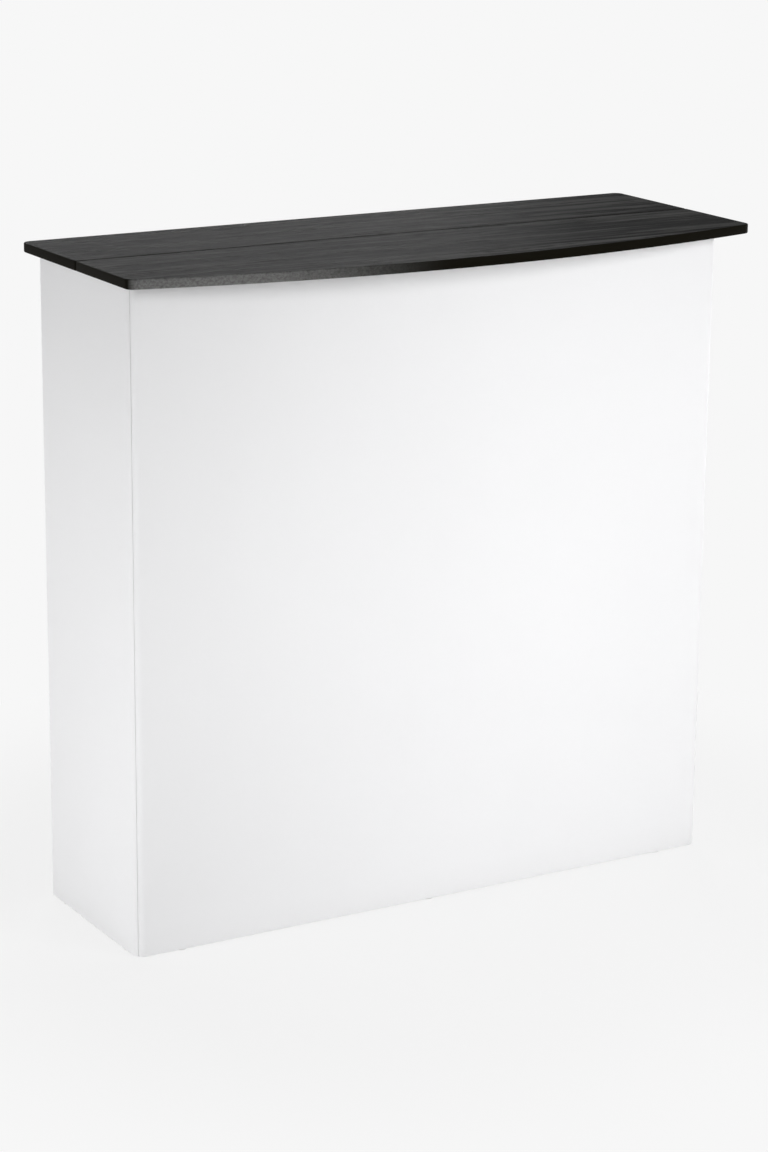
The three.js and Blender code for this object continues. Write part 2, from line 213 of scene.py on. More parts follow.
def moved(surface, origin, plate=(1, 0, 0), out=(0, 1, 0)):
    """Places a surface: its first axis goes along plate, its second along out, its third along
    their cross product."""
    points, faces = surface
    basis = np.array([plate, out, np.cross(plate, out)], float)
    return points @ basis + np.array(origin), faces


def span(node, axis):
    """The lowest and highest coordinate of a CAD node along an axis."""
    low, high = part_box(node)
    return low["xyz".index(axis)], high["xyz".index(axis)]


def middle(node):
    """The centre of a CAD node's box."""
    low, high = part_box(node)
    return np.array((low + high) / 2)


SEAM_Y = (span("front_top_edging", "y")[1] + span("back_top_edging", "y")[0]) / 2


def joined(name, surfaces):
    """An object that holds one or more closed surfaces as one mesh."""
    points, faces, start = [], [], 0
    for found, loops in surfaces:
        points.append(found)
        faces += [[i + start for i in loop] for loop in loops]
        start += len(found)
    mesh = bpy.data.meshes.new(name)
    mesh.from_pydata(np.concatenate(points).tolist(), [], faces)
    made = bpy.data.objects.new(name, mesh)
    bpy.context.scene.collection.objects.link(made)
    return made


def drilled(made, holes):
    """Cuts closed surfaces out of an object and keeps the result as its mesh."""
    drill = joined("drill", holes)
    cut = made.modifiers.new("holes", "BOOLEAN")
    cut.operation = "DIFFERENCE"
    cut.solver = "MANIFOLD"
    cut.object = drill
    found = made.evaluated_get(bpy.context.evaluated_depsgraph_get())
    mesh = bpy.data.meshes.new_from_object(found)
    made.modifiers.clear()
    solid, made.data = made.data, mesh
    mesh.name = made.name
    mesh.materials.clear()
    bpy.data.meshes.remove(solid)
    bpy.data.meshes.remove(drill.data)


def piece(name, surfaces, material, body, nodes=(), holes=()):
    """Makes one named piece of one or more closed surfaces, dresses it and lets it ride on its body.
    Broad flat faces are shaded flat and the rest smooth, so that roundings don't darken a board's face."""
    made = joined(name, surfaces)
    if holes:
        drilled(made, holes)
    mesh = made.data
    areas = np.empty(len(mesh.polygons))
    mesh.polygons.foreach_get("area", areas)
    mesh.polygons.foreach_set("use_smooth", areas < BROAD_FACE)
    mesh.set_sharp_from_angle(angle=math.radians(SHARP_ANGLE))
    mesh.materials.append(material)
    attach(made, body)
    if nodes:
        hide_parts(*nodes)
    return made


# Materials

def node(tree, kind, inputs=None, out=0, **settings):
    """Adds a shader node, sets its properties, fills or links its inputs, and gives back one output,
    or none where out is None."""
    made = tree.nodes.new(kind)
    for name, value in settings.items():
        setattr(made, name, value)
    for socket, value in (inputs or {}).items():
        if isinstance(value, bpy.types.NodeSocket):
            tree.links.new(value, made.inputs[socket])
        else:
            made.inputs[socket].default_value = value
    return None if out is None else made.outputs[out]


def cells(*millimetres):
    """The mapping scale at which one cell of a pattern measures so many millimetres along x, y and z."""
    return [1000 / size for size in millimetres]


def finish(name, patterns, **constants):
    """Makes a material: constants go on the shader's own sockets, and the function patterns(tree, place)
    gives the sockets that change over the surface."""
    material = bpy.data.materials.new(name)
    material.use_nodes = True
    tree = material.node_tree
    shader = tree.nodes["Principled BSDF"]
    for socket, value in constants.items():
        shader.inputs[socket.replace("_", " ")].default_value = value
    place = node(tree, "ShaderNodeTexCoord", out="Object")
    for socket, value in patterns(tree, place).items():
        tree.links.new(value, shader.inputs[socket])
    return material


def white_laminate(tree, place):
    """Melamine laminate pressed on board: an even satin white with a faint pearl and barely visible
    clouds, a little duller at the foot."""
    cloud = node(tree, "ShaderNodeTexNoise", {
        "Vector": node(tree, "ShaderNodeMapping", {"Vector": place, "Scale": cells(300, 300, 450)}),
        "Scale": 1.0, "Detail": 2.0})
    # The press plate's pearl is about 0.4 mm; it is drawn at 2.5 mm so that it shows.
    pearl = node(tree, "ShaderNodeTexNoise", {
        "Vector": node(tree, "ShaderNodeMapping", {"Vector": place, "Scale": cells(2.5, 2.5, 2.5)}),
        "Scale": 1.0, "Detail": 2.0})
    height = node(tree, "ShaderNodeSeparateXYZ", {"Vector": place}, "Z")
    clean = node(tree, "ShaderNodeMix", {
        0: cloud, 6: linear("#efeff0"), 7: linear("#f3f3f4")}, 2, data_type="RGBA")
    foot = node(tree, "ShaderNodeMapRange", {
        "Value": height, "From Max": FOOT_HEIGHT, "To Min": 0.25, "To Max": 0.0})
    tone_patch = node(tree, "ShaderNodeMath", {0: foot, 1: cloud}, operation="MULTIPLY")
    return {
        "Base Color": node(tree, "ShaderNodeMix", {
            0: tone_patch, 6: clean, 7: linear("#dcdcdb")}, 2, data_type="RGBA"),
        "Roughness": node(tree, "ShaderNodeMapRange", {"Value": pearl, "To Min": 0.5, "To Max": 0.66}),
        "Normal": node(tree, "ShaderNodeBump", {"Height": pearl, "Strength": 0.05, "Distance": 0.2 * MM}),
    }


def black_woodgrain(tree, place):
    """Matt black laminate embossed with an open grain: charcoal bands, paler fibres and dark sunken pores.
    Real pores are about 0.5 mm wide; they are drawn 6 mm wide and the fibres 18 mm, so that the grain shows
    at a low angle. A band of painted shade darkens the grain along the seam, where the groove between the
    leaves would be in shade."""
    band = node(tree, "ShaderNodeTexNoise", {
        "Vector": node(tree, "ShaderNodeMapping", {"Vector": place, "Scale": cells(600, 40, 50)}),
        "Scale": 1.0, "Detail": 3.0, "Roughness": 0.6})
    fibre = node(tree, "ShaderNodeTexNoise", {
        "Vector": node(tree, "ShaderNodeMapping", {"Vector": place, "Scale": cells(360, 18, 50)}),
        "Scale": 1.0, "Detail": 4.0, "Roughness": 0.65})
    pore = node(tree, "ShaderNodeTexNoise", {
        "Vector": node(tree, "ShaderNodeMapping", {"Vector": place, "Scale": cells(120, 6, 20)}),
        "Scale": 1.0, "Detail": 3.0, "Roughness": 0.6})
    pores = node(tree, "ShaderNodeMapRange", {
        "Value": pore, "From Min": 0.37, "From Max": 0.45, "To Min": 1.0, "To Max": 0.0})
    paler = node(tree, "ShaderNodeMapRange", {"Value": fibre, "From Min": 0.44, "From Max": 0.61})
    banded = node(tree, "ShaderNodeMapRange", {"Value": band, "From Min": 0.34, "From Max": 0.64})
    dark = node(tree, "ShaderNodeMix", {
        0: banded, 6: linear("#080808"), 7: linear("#292929")}, 2, data_type="RGBA")
    grain = node(tree, "ShaderNodeMix", {0: paler, 6: dark, 7: linear("#4f4f4e")}, 2, data_type="RGBA")
    relief = node(tree, "ShaderNodeMath", {0: fibre, 1: pores}, operation="SUBTRACT")
    depth = node(tree, "ShaderNodeSeparateXYZ", {"Vector": place}, "Y")
    aside = node(tree, "ShaderNodeMath", {0: depth, 1: SEAM_Y}, operation="SUBTRACT")
    away = node(tree, "ShaderNodeMath", {0: aside}, operation="ABSOLUTE")
    # Painted shade: the grain goes dark in a band along the seam, full within 3 mm of it and gone at 9 mm.
    seam_shade = node(tree, "ShaderNodeMapRange", {
        "Value": away, "From Min": SEAM_SHADE_REACH[0], "From Max": SEAM_SHADE_REACH[1], "To Min": 1.0, "To Max": 0.0})
    # The pores and the painted seam shade both take the darkest colour.
    sunk = node(tree, "ShaderNodeMath", {0: pores, 1: seam_shade}, operation="MAXIMUM")
    return {
        "Base Color": node(tree, "ShaderNodeMix", {
            0: sunk, 6: grain, 7: linear("#080808")}, 2, data_type="RGBA"),
        "Roughness": node(tree, "ShaderNodeMapRange", {"Value": fibre, "To Min": 0.36, "To Max": 0.6}),
        "Normal": node(tree, "ShaderNodeBump", {"Height": relief, "Strength": 0.6, "Distance": 0.6 * MM}),
    }


def black_edging(tree, place):
    """Extruded ABS edge band: a warm black with a satin sheen and a faint grain embossed along it. A
    speckled grey patch on the bowed front, most towards the left end, is partly scuffs where hands and
    glasses rub it and partly a painted highlight."""
    drawn = node(tree, "ShaderNodeTexNoise", {
        "Vector": node(tree, "ShaderNodeMapping", {"Vector": place, "Scale": cells(22, 22, 3)}),
        "Scale": 1.0, "Detail": 3.0, "Roughness": 0.6})
    # The grey patch is partly scuffs and partly a painted highlight. Real scuffs are hair-fine; its
    # speckles are drawn 4 mm long so that they show.
    scuff_and_highlight_noise = node(tree, "ShaderNodeTexNoise", {
        "Vector": node(tree, "ShaderNodeMapping", {"Vector": place, "Scale": cells(4, 20, 3)}),
        "Scale": 1.0, "Detail": 3.0, "Roughness": 0.7})
    along = node(tree, "ShaderNodeSeparateXYZ", {"Vector": place}, "X")
    depth = node(tree, "ShaderNodeSeparateXYZ", {"Vector": place}, "Y")
    front = node(tree, "ShaderNodeMapRange", {
        "Value": depth, "From Min": SCUFF_AND_HIGHLIGHT_FROM_Y[0], "From Max": SCUFF_AND_HIGHLIGHT_FROM_Y[1],
        "To Min": 1.0, "To Max": 0.0})
    left = node(tree, "ShaderNodeMapRange", {
        "Value": along, "From Min": SCUFF_AND_HIGHLIGHT_FADE_X[0], "From Max": SCUFF_AND_HIGHLIGHT_FADE_X[1],
        "To Min": 1.0, "To Max": 0.0}, interpolation_type="SMOOTHSTEP")
    speckle = node(tree, "ShaderNodeMapRange", {
        "Value": scuff_and_highlight_noise, "From Min": 0.3, "From Max": 0.65, "To Min": 0.4})
    # Where the grey patch lies: on the front face of the band, fading out from the left end towards the
    # middle. It is partly scuffs and partly a painted highlight.
    reach = node(tree, "ShaderNodeMath", {0: front, 1: left}, operation="MULTIPLY")
    tone_patch = node(tree, "ShaderNodeMath", {0: reach, 1: speckle}, operation="MULTIPLY")
    black = node(tree, "ShaderNodeMix", {
        0: drawn, 6: linear("#080703"), 7: linear("#13110b")}, 2, data_type="RGBA")
    return {
        # The grey mixed into the black here is partly scuff and partly a painted highlight.
        "Base Color": node(tree, "ShaderNodeMix", {
            0: tone_patch, 6: black, 7: linear("#7a7a79")}, 2, data_type="RGBA"),
        "Roughness": node(tree, "ShaderNodeMapRange", {"Value": drawn, "To Min": 0.4, "To Max": 0.55}),
        "Normal": node(tree, "ShaderNodeBump", {"Height": drawn, "Strength": 0.1, "Distance": 0.1 * MM}),
    }


def zinc_steel(tree, place):
    """Pressed steel with bright zinc plating: cool grey with soft blotches and fine rolling lines."""
    blotch = node(tree, "ShaderNodeTexNoise", {
        "Vector": node(tree, "ShaderNodeMapping", {"Vector": place, "Scale": cells(6, 6, 6)}),
        "Scale": 1.0, "Detail": 3.0})
    rolled = node(tree, "ShaderNodeTexNoise", {
        "Vector": node(tree, "ShaderNodeMapping", {"Vector": place, "Scale": cells(40, 0.9, 0.9)}),
        "Scale": 1.0, "Detail": 2.0})
    worn = node(tree, "ShaderNodeMath", {0: blotch, 1: rolled}, operation="ADD")
    return {
        "Base Color": node(tree, "ShaderNodeMix", {
            0: blotch, 6: linear("#b3b6bb"), 7: linear("#cbccce")}, 2, data_type="RGBA"),
        "Roughness": node(tree, "ShaderNodeMapRange", {
            "Value": worn, "From Min": 0.7, "From Max": 1.3, "To Min": 0.26, "To Max": 0.38}),
        "Normal": node(tree, "ShaderNodeBump", {"Height": rolled, "Strength": 0.1, "Distance": 0.1 * MM}),
    }


def turned_beech(tree, place):
    """Turned beech: pale pinkish brown with short dark flecks along the dowel."""
    fleck = node(tree, "ShaderNodeTexNoise", {
        "Vector": node(tree, "ShaderNodeMapping", {"Vector": place, "Scale": cells(0.6, 0.6, 5)}),
        "Scale": 1.0, "Detail": 3.0})
    return {
        "Base Color": node(tree, "ShaderNodeMix", {
            0: fleck, 6: linear("#e2bb8b"), 7: linear("#b07f4d")}, 2, data_type="RGBA"),
        "Roughness": node(tree, "ShaderNodeMapRange", {"Value": fleck, "To Min": 0.48, "To Max": 0.68}),
        "Normal": node(tree, "ShaderNodeBump", {"Height": fleck, "Strength": 0.2, "Distance": 0.1 * MM}),
    }


def moulded_glide(tree, place):
    """Moulded polypropylene: off-white with the fine grit of a spark-eroded mould."""
    grit = node(tree, "ShaderNodeTexNoise", {
        "Vector": node(tree, "ShaderNodeMapping", {"Vector": place, "Scale": cells(1.2, 1.2, 1.2)}),
        "Scale": 1.0, "Detail": 2.0})
    return {
        "Base Color": node(tree, "ShaderNodeMix", {
            0: grit, 6: linear("#dededc"), 7: linear("#ececea")}, 2, data_type="RGBA"),
        "Roughness": node(tree, "ShaderNodeMapRange", {"Value": grit, "To Min": 0.4, "To Max": 0.6}),
        "Normal": node(tree, "ShaderNodeBump", {"Height": grit, "Strength": 0.15, "Distance": 0.1 * MM}),
    }


WHITE = finish("satin_white_laminate", white_laminate, IOR=1.5)
GRAIN = finish("black_woodgrain_laminate", black_woodgrain, IOR=1.5, Specular_IOR_Level=0.003)
EDGING = finish("black_abs_edge_band", black_edging, IOR=1.52, Specular_IOR_Level=0.015)
ZINC = finish("bright_zinc_steel", zinc_steel, Metallic=1.0)
BEECH = finish("turned_beech", turned_beech, IOR=1.5)
GLIDE = finish("moulded_polypropylene", moulded_glide, IOR=1.49)


# Holes for the dowels and the glides' stems

def hole(node, radius, low, high):
    """A straight bore on a CAD node's upright axis."""
    bore = radius + HOLE_CLEARANCE
    points, faces = lathe([(bore, low), (bore, high)], 40)
    return points + middle(node) * (1, 1, 0), faces


def dowel_hole(side, low, high):
    """The bore of one locating dowel between two levels."""
    node = f"{side}_top_dowel"
    return hole(node, span(node, "x")[1] - middle(node)[0], low, high)


def glide_hole(node):
    """The bore that takes a glide's stem, open below."""
    low, high = span(node, "z")
    return hole(node, GLIDE_STEM_RADIUS, low, high + HOLE_CLEARANCE)


# Worktop

TOP_HALF = span("front_top_edging", "x")[1]
TOP_LEVELS = span("front_top_edging", "z")
TOP_FRONT, FRONT_SEAM = span("front_top_edging", "y")
BACK_SEAM, TOP_BACK = span("back_top_edging", "y")
BOARD_INSET = span("front_top_edging", "x")[1] - span("front_top_leaf", "x")[1]
WING_GLIDES = ("front", "rear")
FRONT_GLIDES = ("left", "middle", "right")


def front_leaf_outline():
    """A straight seam with small corners, and a front edge bowed on a circle that the rounded front
    corners touch from inside: bow radius = (half length squared + bow squared) / (2 bow)."""
    bow_radius = (TOP_HALF ** 2 + TOP_BOW ** 2) / (2 * TOP_BOW)
    bow_y = TOP_FRONT + bow_radius
    x = TOP_HALF - TOP_CORNER_RADIUS
    y = bow_y - math.sqrt((bow_radius - TOP_CORNER_RADIUS) ** 2 - x ** 2)
    bow_end = math.degrees(math.atan2(y - bow_y, x))
    end = np.concatenate([
        arc(x, y, TOP_CORNER_RADIUS, bow_end, 0),
        arc(TOP_HALF - SEAM_CORNER_RADIUS, FRONT_SEAM - SEAM_CORNER_RADIUS, SEAM_CORNER_RADIUS, 0, 90, 7),
    ])
    bow = arc(0, bow_y, bow_radius, -180 - bow_end, bow_end, 97)[1:-1]
    return np.concatenate([end, mirrored(end), bow])


def back_leaf_outline():
    """A rectangle with small corners at the seam and larger ones behind."""
    end = np.concatenate([
        arc(TOP_HALF - SEAM_CORNER_RADIUS, BACK_SEAM + SEAM_CORNER_RADIUS, SEAM_CORNER_RADIUS, -90, 0, 7),
        arc(TOP_HALF - TOP_CORNER_RADIUS, TOP_BACK - TOP_CORNER_RADIUS, TOP_CORNER_RADIUS, 0, 90),
    ])
    return np.concatenate([end, mirrored(end)])


def edge_band(outline, levels, width, ease, steps=6):
    """A band that runs round an outline: its section is a strip with quarter-round outer edges,
    followed up the outside, over the top, down the inside and back below."""
    low, high = levels
    turn = np.linspace(0, math.pi / 2, steps)
    insets = np.concatenate([ease * (1 - np.sin(turn)), ease * (1 - np.cos(turn)), [width, width]])
    rise = ease * (1 - np.cos(turn))
    heights = np.concatenate([low + rise, high - rise[::-1], [high, low]])
    return loft(stacked(outline, insets, heights), capped=False)


def worktop(name, outline, body, holes=()):
    """One leaf: the board, which is square-edged and may be bored below, and the band round it."""
    board = eased_board(inset(outline, BOARD_INSET), TOP_LEVELS, TOP_EASE, steps=3)
    piece(f"{name}_worktop_board", [board], GRAIN, body, [f"{name}_top_leaf"], holes)
    band = edge_band(outline, TOP_LEVELS, BAND_WIDTH, EDGING_EASE)
    piece(f"{name}_worktop_edge_band", [band], EDGING, body, [f"{name}_top_edging"])


DOWEL_LEVELS = span("left_top_dowel", "z")
BODY_LEVELS = span("front_panel", "z")
SIDES = (("left", -1), ("right", 1))
TOP_SOCKETS = [dowel_hole(side, BODY_LEVELS[1], DOWEL_LEVELS[1] + HOLE_CLEARANCE) for side, _ in SIDES]

worktop("front", front_leaf_outline(), "top_front", TOP_SOCKETS)
worktop("back", back_leaf_outline(), "top_back")


# Front panel and wings

BODY_HALF = span("right_wing_panel", "x")[1]
WING_INNER = span("right_wing_panel", "x")[0]
BODY_FRONT, PANEL_INNER = span("front_panel", "y")
BODY_BACK = span("right_wing_panel", "y")[1]
CORNER_X = BODY_HALF - CORNER_RADIUS
CORNER_Y = BODY_FRONT + CORNER_RADIUS
MITRE_TURN = math.degrees(math.asin(MITRE_GAP / (2 * CORNER_RADIUS)))
MITRE_SHIFT = MITRE_GAP / math.sqrt(2)


def front_panel_outline():
    """A flat panel whose rounded ends stop at the mitre, halfway round the corner."""
    end = np.concatenate([
        arc(CORNER_X, CORNER_Y, CORNER_RADIUS, -90, -45 - MITRE_TURN),
        [(WING_INNER - MITRE_SHIFT, PANEL_INNER)],
    ])
    return np.concatenate([end, mirrored(end)])


def right_wing_outline():
    """A flat wing that starts at the mitre, halfway round the corner, and ends in a rounded rear edge."""
    rear = BODY_BACK - WING_EDGE_RADIUS
    return np.concatenate([
        [(WING_INNER, PANEL_INNER + MITRE_SHIFT)],
        arc(CORNER_X, CORNER_Y, CORNER_RADIUS, -45 + MITRE_TURN, 0),
        arc(BODY_HALF - WING_EDGE_RADIUS, rear, WING_EDGE_RADIUS, 0, 90, 7),
        arc(WING_INNER + WING_EDGE_RADIUS, rear, WING_EDGE_RADIUS, 90, 180, 7),
    ])


def panel(name, outline, body, node, holes):
    """A board with softened edges, bored for what plugs into it."""
    board = eased_board(outline, BODY_LEVELS, PANEL_EASE)
    piece(name, [board], WHITE, body, [node], holes)


def wing(side, outline):
    """One wing, bored below for its two glides."""
    holes = [glide_hole(f"{side}_glide_{place}") for place in WING_GLIDES]
    panel(f"{side}_wing_board", outline, f"{side}_wing", f"{side}_wing_panel", holes)


PANEL_HOLES = [glide_hole(f"front_glide_{place}") for place in FRONT_GLIDES]
PANEL_HOLES += [dowel_hole(side, DOWEL_LEVELS[0] - HOLE_CLEARANCE, TOP_LEVELS[0]) for side, _ in SIDES]
panel("front_panel_board", front_panel_outline(), "front", "front_panel", PANEL_HOLES)
wing("right", right_wing_outline())
wing("left", mirrored(right_wing_outline()))


# Shelves, battens, hinge blocks and cleats

def shelf(level):
    """A thin board with rounded free corners and softened edges, stowed upright."""
    node = f"{level}_shelf"
    low, high = span(node, "z")
    half = span(node, "x")[1]
    corner = half - SHELF_CORNER_RADIUS
    top = high - SHELF_CORNER_RADIUS
    outline = np.concatenate([
        arc(corner, top, SHELF_CORNER_RADIUS, 0, 90),
        arc(-corner, top, SHELF_CORNER_RADIUS, 90, 180),
        [(-half, low), (half, low)],
    ])
    board = eased_board(outline[::-1, ::-1], span(node, "y"), SHELF_EASE, "y")
    piece(f"{level}_shelf_board", [board], WHITE, f"{level}_shelf", [node])


def block(node, body, axis):
    """A planed block with softened edges, in the place of a CAD node."""
    u, v = {"x": "yz", "y": "zx", "z": "xy"}[axis]
    outline = rectangle(span(node, u), span(node, v), BLOCK_CORNER)
    board = eased_board(outline, span(node, axis), BLOCK_EASE, axis)
    piece(f"{node}_board", [board], WHITE, body, [node])


LEVELS = ("lower", "upper")
HINGES = ("lower", "middle", "upper")

for level in LEVELS:
    shelf(level)
    block(f"{level}_shelf_batten", "front", "x")
    for side, _ in SIDES:
        block(f"{side}_{level}_shelf_cleat", f"{side}_wing", "y")
for side, _ in SIDES:
    for height in HINGES:
        block(f"{side}_hinge_block_{height}", "front", "z")


# Hinges

def knuckle(low, high, tail):
    """A leaf's edge rolled round the pin: the outside follows a circle of the barrel's radius and the
    inside one of the bore's, from the plate's underside nearly all the way round."""
    seat = KNUCKLE_INSET - BARREL_RADIUS
    face = LEAF_THICKNESS - BARREL_RADIUS - KNUCKLE_INSET
    inner_start = math.degrees(math.asin(face / BORE_RADIUS))
    outside = arc(0, 0, BARREL_RADIUS, CURL_END, -90, 29)
    inside = arc(0, 0, BORE_RADIUS, inner_start, CURL_END, 25)
    outline = np.concatenate([outside, [(tail, seat), (tail, face)], inside])
    return eased_board(outline, (low, high), KNUCKLE_EASE, steps=2)


def hinge_leaf(length, width, knuckles, first):
    """One leaf: a plate with rounded outer corners and every second knuckle of the barrel."""
    pitch = length / knuckles
    start = BARREL_RADIUS + NOTCH_GAP
    plate = rectangle((-length / 2, length / 2), (start, width), LEAF_CORNER)
    surfaces = [eased_board(plate, (-BARREL_RADIUS, LEAF_THICKNESS - BARREL_RADIUS), LEAF_EASE, "y", 3)]
    for i in range(first, knuckles, 2):
        low = -length / 2 + i * pitch + KNUCKLE_GAP / 2
        surfaces.append(knuckle(low, low + pitch - KNUCKLE_GAP, start + LEAF_THICKNESS))
    return surfaces


def screw():
    """A flush screw head: a low dome, height = rise(1 - (r/R)^2), less a cross-shaped driver recess."""
    angle = np.linspace(0, 2 * math.pi, 32, endpoint=False)
    radius = SCREW_RADIUS * np.array(SCREW_RINGS)
    u = radius[:, None] * np.cos(angle)
    w = radius[:, None] * np.sin(angle)
    across, along = np.minimum(abs(u), abs(w)), np.maximum(abs(u), abs(w))
    recess = np.clip((SLOT_HALF_WIDTH - across) / SLOT_SIDE_SLOPE + 0.5, 0, 1)
    recess *= np.clip((SLOT_HALF_LENGTH - along) / SLOT_END_SLOPE + 0.5, 0, 1)
    height = SCREW_RISE * (1 - (radius[:, None] / SCREW_RADIUS) ** 2) - SLOT_DEPTH * recess
    height[0] = -SCREW_SUNK
    return loft(np.stack([w, u, height], -1)[..., [1, 2, 0]])


def screws_on(length, width, count):
    """A row of screws along the middle of a leaf's plate, one near each end."""
    face = LEAF_THICKNESS - BARREL_RADIUS
    across = (BARREL_RADIUS + NOTCH_GAP + width) / 2
    reach = length / 2 - 3 * SCREW_RADIUS
    return [moved(screw(), (across, face, along)) for along in np.linspace(-reach, reach, count)]


def fitted_leaf(node, body, axis, plate, seat, knuckles, first, screw_count):
    """Puts a rolled leaf and its screws where the CAD leaf is, with the barrel on the hinge's axis."""
    out = -np.array(seat, float)
    along = int(np.argmax(abs(np.cross(plate, out))))
    low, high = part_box(node)
    length = high[along] - low[along]
    reach = int(np.argmax(np.abs(plate)))
    width = max(abs(high[reach] - axis[reach]), abs(low[reach] - axis[reach]))
    placed = [moved(s, axis, plate, out) for s in hinge_leaf(length, width, knuckles, first)]
    piece(f"{node}_rolled", placed, ZINC, body, [node])
    heads = [moved(s, axis, plate, out) for s in screws_on(length, width, screw_count)]
    piece(f"{node}_screws", heads, ZINC, body)


def hinge_pin(node, body, axis, headed):
    """A steel pin with softened ends, and a domed head where it drops in from above."""
    low, high = span(node, axis)
    half = (high - low) / 2
    profile = [(PIN_RADIUS - PIN_SOFT, -half), (PIN_RADIUS, PIN_SOFT - half)]
    if headed:
        head = span(node, "x")[1] - middle(node)[0]
        neck = half - PIN_HEAD_HEIGHT
        profile += [
            (PIN_RADIUS, neck), (head - PIN_HEAD_EDGE, neck), (head, neck + 2 * PIN_HEAD_EDGE),
            (head, half - PIN_SOFT), (head - PIN_SOFT, half - PIN_HEAD_EDGE), (PIN_CROWN, half)]
    else:
        profile += [(PIN_RADIUS, half - PIN_SOFT), (PIN_RADIUS - PIN_SOFT, half)]
    points, faces = lathe(profile, 24)
    placed = turned_to(points, axis) + middle(node)
    piece(f"{node}_turned", [(placed, faces)], ZINC, body, [node])


def cleat_screws(side, sign, level):
    """The two screws that hold a shelf's cleat on its wing, on the face towards the middle of the bar."""
    node = f"{side}_{level}_shelf_cleat"
    face = min(span(node, "x"), key=abs)
    low, high = span(node, "y")
    places = [(face, y, middle(node)[2]) for y in (low + CLEAT_SCREW_INSET, high - CLEAT_SCREW_INSET)]
    heads = [moved(screw(), place, (0, 1, 0), (-sign, 0, 0)) for place in places]
    piece(f"{node}_screws", heads, ZINC, f"{side}_wing")


for side, sign in SIDES:
    for level in LEVELS:
        cleat_screws(side, sign, level)
    for height in HINGES:
        pin = f"{side}_hinge_pin_{height}"
        leaf = f"{side}_hinge_fixed_leaf_{height}"
        axis = (middle(pin)[0], middle(pin)[1], middle(leaf)[2])
        fitted_leaf(leaf, "front", axis, (-sign, 0, 0), (0, -1, 0), BUTT_KNUCKLES, 0, BUTT_SCREWS)
        wing_leaf = f"{side}_hinge_wing_leaf_{height}"
        fitted_leaf(wing_leaf, f"{side}_wing", axis, (0, 1, 0), (sign, 0, 0), BUTT_KNUCKLES, 1, BUTT_SCREWS)
        hinge_pin(pin, "front", "z", True)
for level in LEVELS:
    axis = middle(f"{level}_shelf_hinge_pin")
    fixed = f"{level}_shelf_hinge_fixed_leaf"
    fitted_leaf(fixed, "front", axis, (0, 0, -1), (0, -1, 0), PIANO_KNUCKLES, 0, PIANO_SCREWS)
    leaf = f"{level}_shelf_hinge_leaf"
    fitted_leaf(leaf, f"{level}_shelf", axis, (0, 0, 1), (0, -1, 0), PIANO_KNUCKLES, 1, PIANO_SCREWS)
    hinge_pin(f"{level}_shelf_hinge_pin", "front", "x", False)
axis = middle("top_hinge_pin")
leaf = "top_hinge_front_leaf"
fitted_leaf(leaf, "top_front", axis, (0, -1, 0), (0, 0, 1), PIANO_KNUCKLES, 0, PIANO_SCREWS)
leaf = "top_hinge_back_leaf"
fitted_leaf(leaf, "top_back", axis, (0, 1, 0), (0, 0, 1), PIANO_KNUCKLES, 1, PIANO_SCREWS)
hinge_pin("top_hinge_pin", "top_front", "x", False)


# Dowels and glides

def dowel(node):
    """A fluted beech dowel with chamfered ends."""
    low, high = span(node, "z")
    radius = span(node, "x")[1] - middle(node)[0]
    tip = radius - DOWEL_CHAMFER
    profile = [(tip, low), (radius, low + DOWEL_CHAMFER), (radius, high - DOWEL_CHAMFER), (tip, high)]
    points, faces = lathe(profile, 4 * DOWEL_FLUTES, DOWEL_FLUTES, FLUTE_DEPTH)
    placed = points + middle(node) * (1, 1, 0)
    piece(f"{node}_fluted", [(placed, faces)], BEECH, "front", [node])


def glide(node, body):
    """A moulded disc with a rounded rim, and the stem that plugs into the panel."""
    low, high = span(node, "z")
    radius = span(node, "x")[1] - middle(node)[0]
    stem = GLIDE_STEM_RADIUS
    turn = np.linspace(0, math.pi / 2, 6)
    out = radius - GLIDE_RIM * (1 - np.sin(turn))
    up = low + GLIDE_RIM * (1 - np.cos(turn))
    profile = [
        (radius - 2 * GLIDE_RIM, low), *zip(out, up), (radius, GLIDE_DISC),
        (stem, GLIDE_DISC), (stem, high - GLIDE_RIM), (stem - GLIDE_RIM, high)]
    points, faces = lathe(profile, 40)
    placed = points + middle(node) * (1, 1, 0)
    piece(f"{node}_moulded", [(placed, faces)], GLIDE, body, [node])


for side, _ in SIDES:
    dowel(f"{side}_top_dowel")
    for place in WING_GLIDES:
        glide(f"{side}_glide_{place}", f"{side}_wing")
for place in FRONT_GLIDES:
    glide(f"front_glide_{place}", "front")


# Floor, light and camera

PAPER = linear("#f7f7f7")

# Share of the floor that takes shadow instead of glowing, and the distances between which it ends
SHADOW_SHARE = 0.14
SHADOW_REACH = (0.6, 1.2)
FLOOR_HALF = 60.0

# Strength of the dome's light at its horizon and overhead
DOME_HORIZON = 0.19
DOME_ZENITH = 0.11

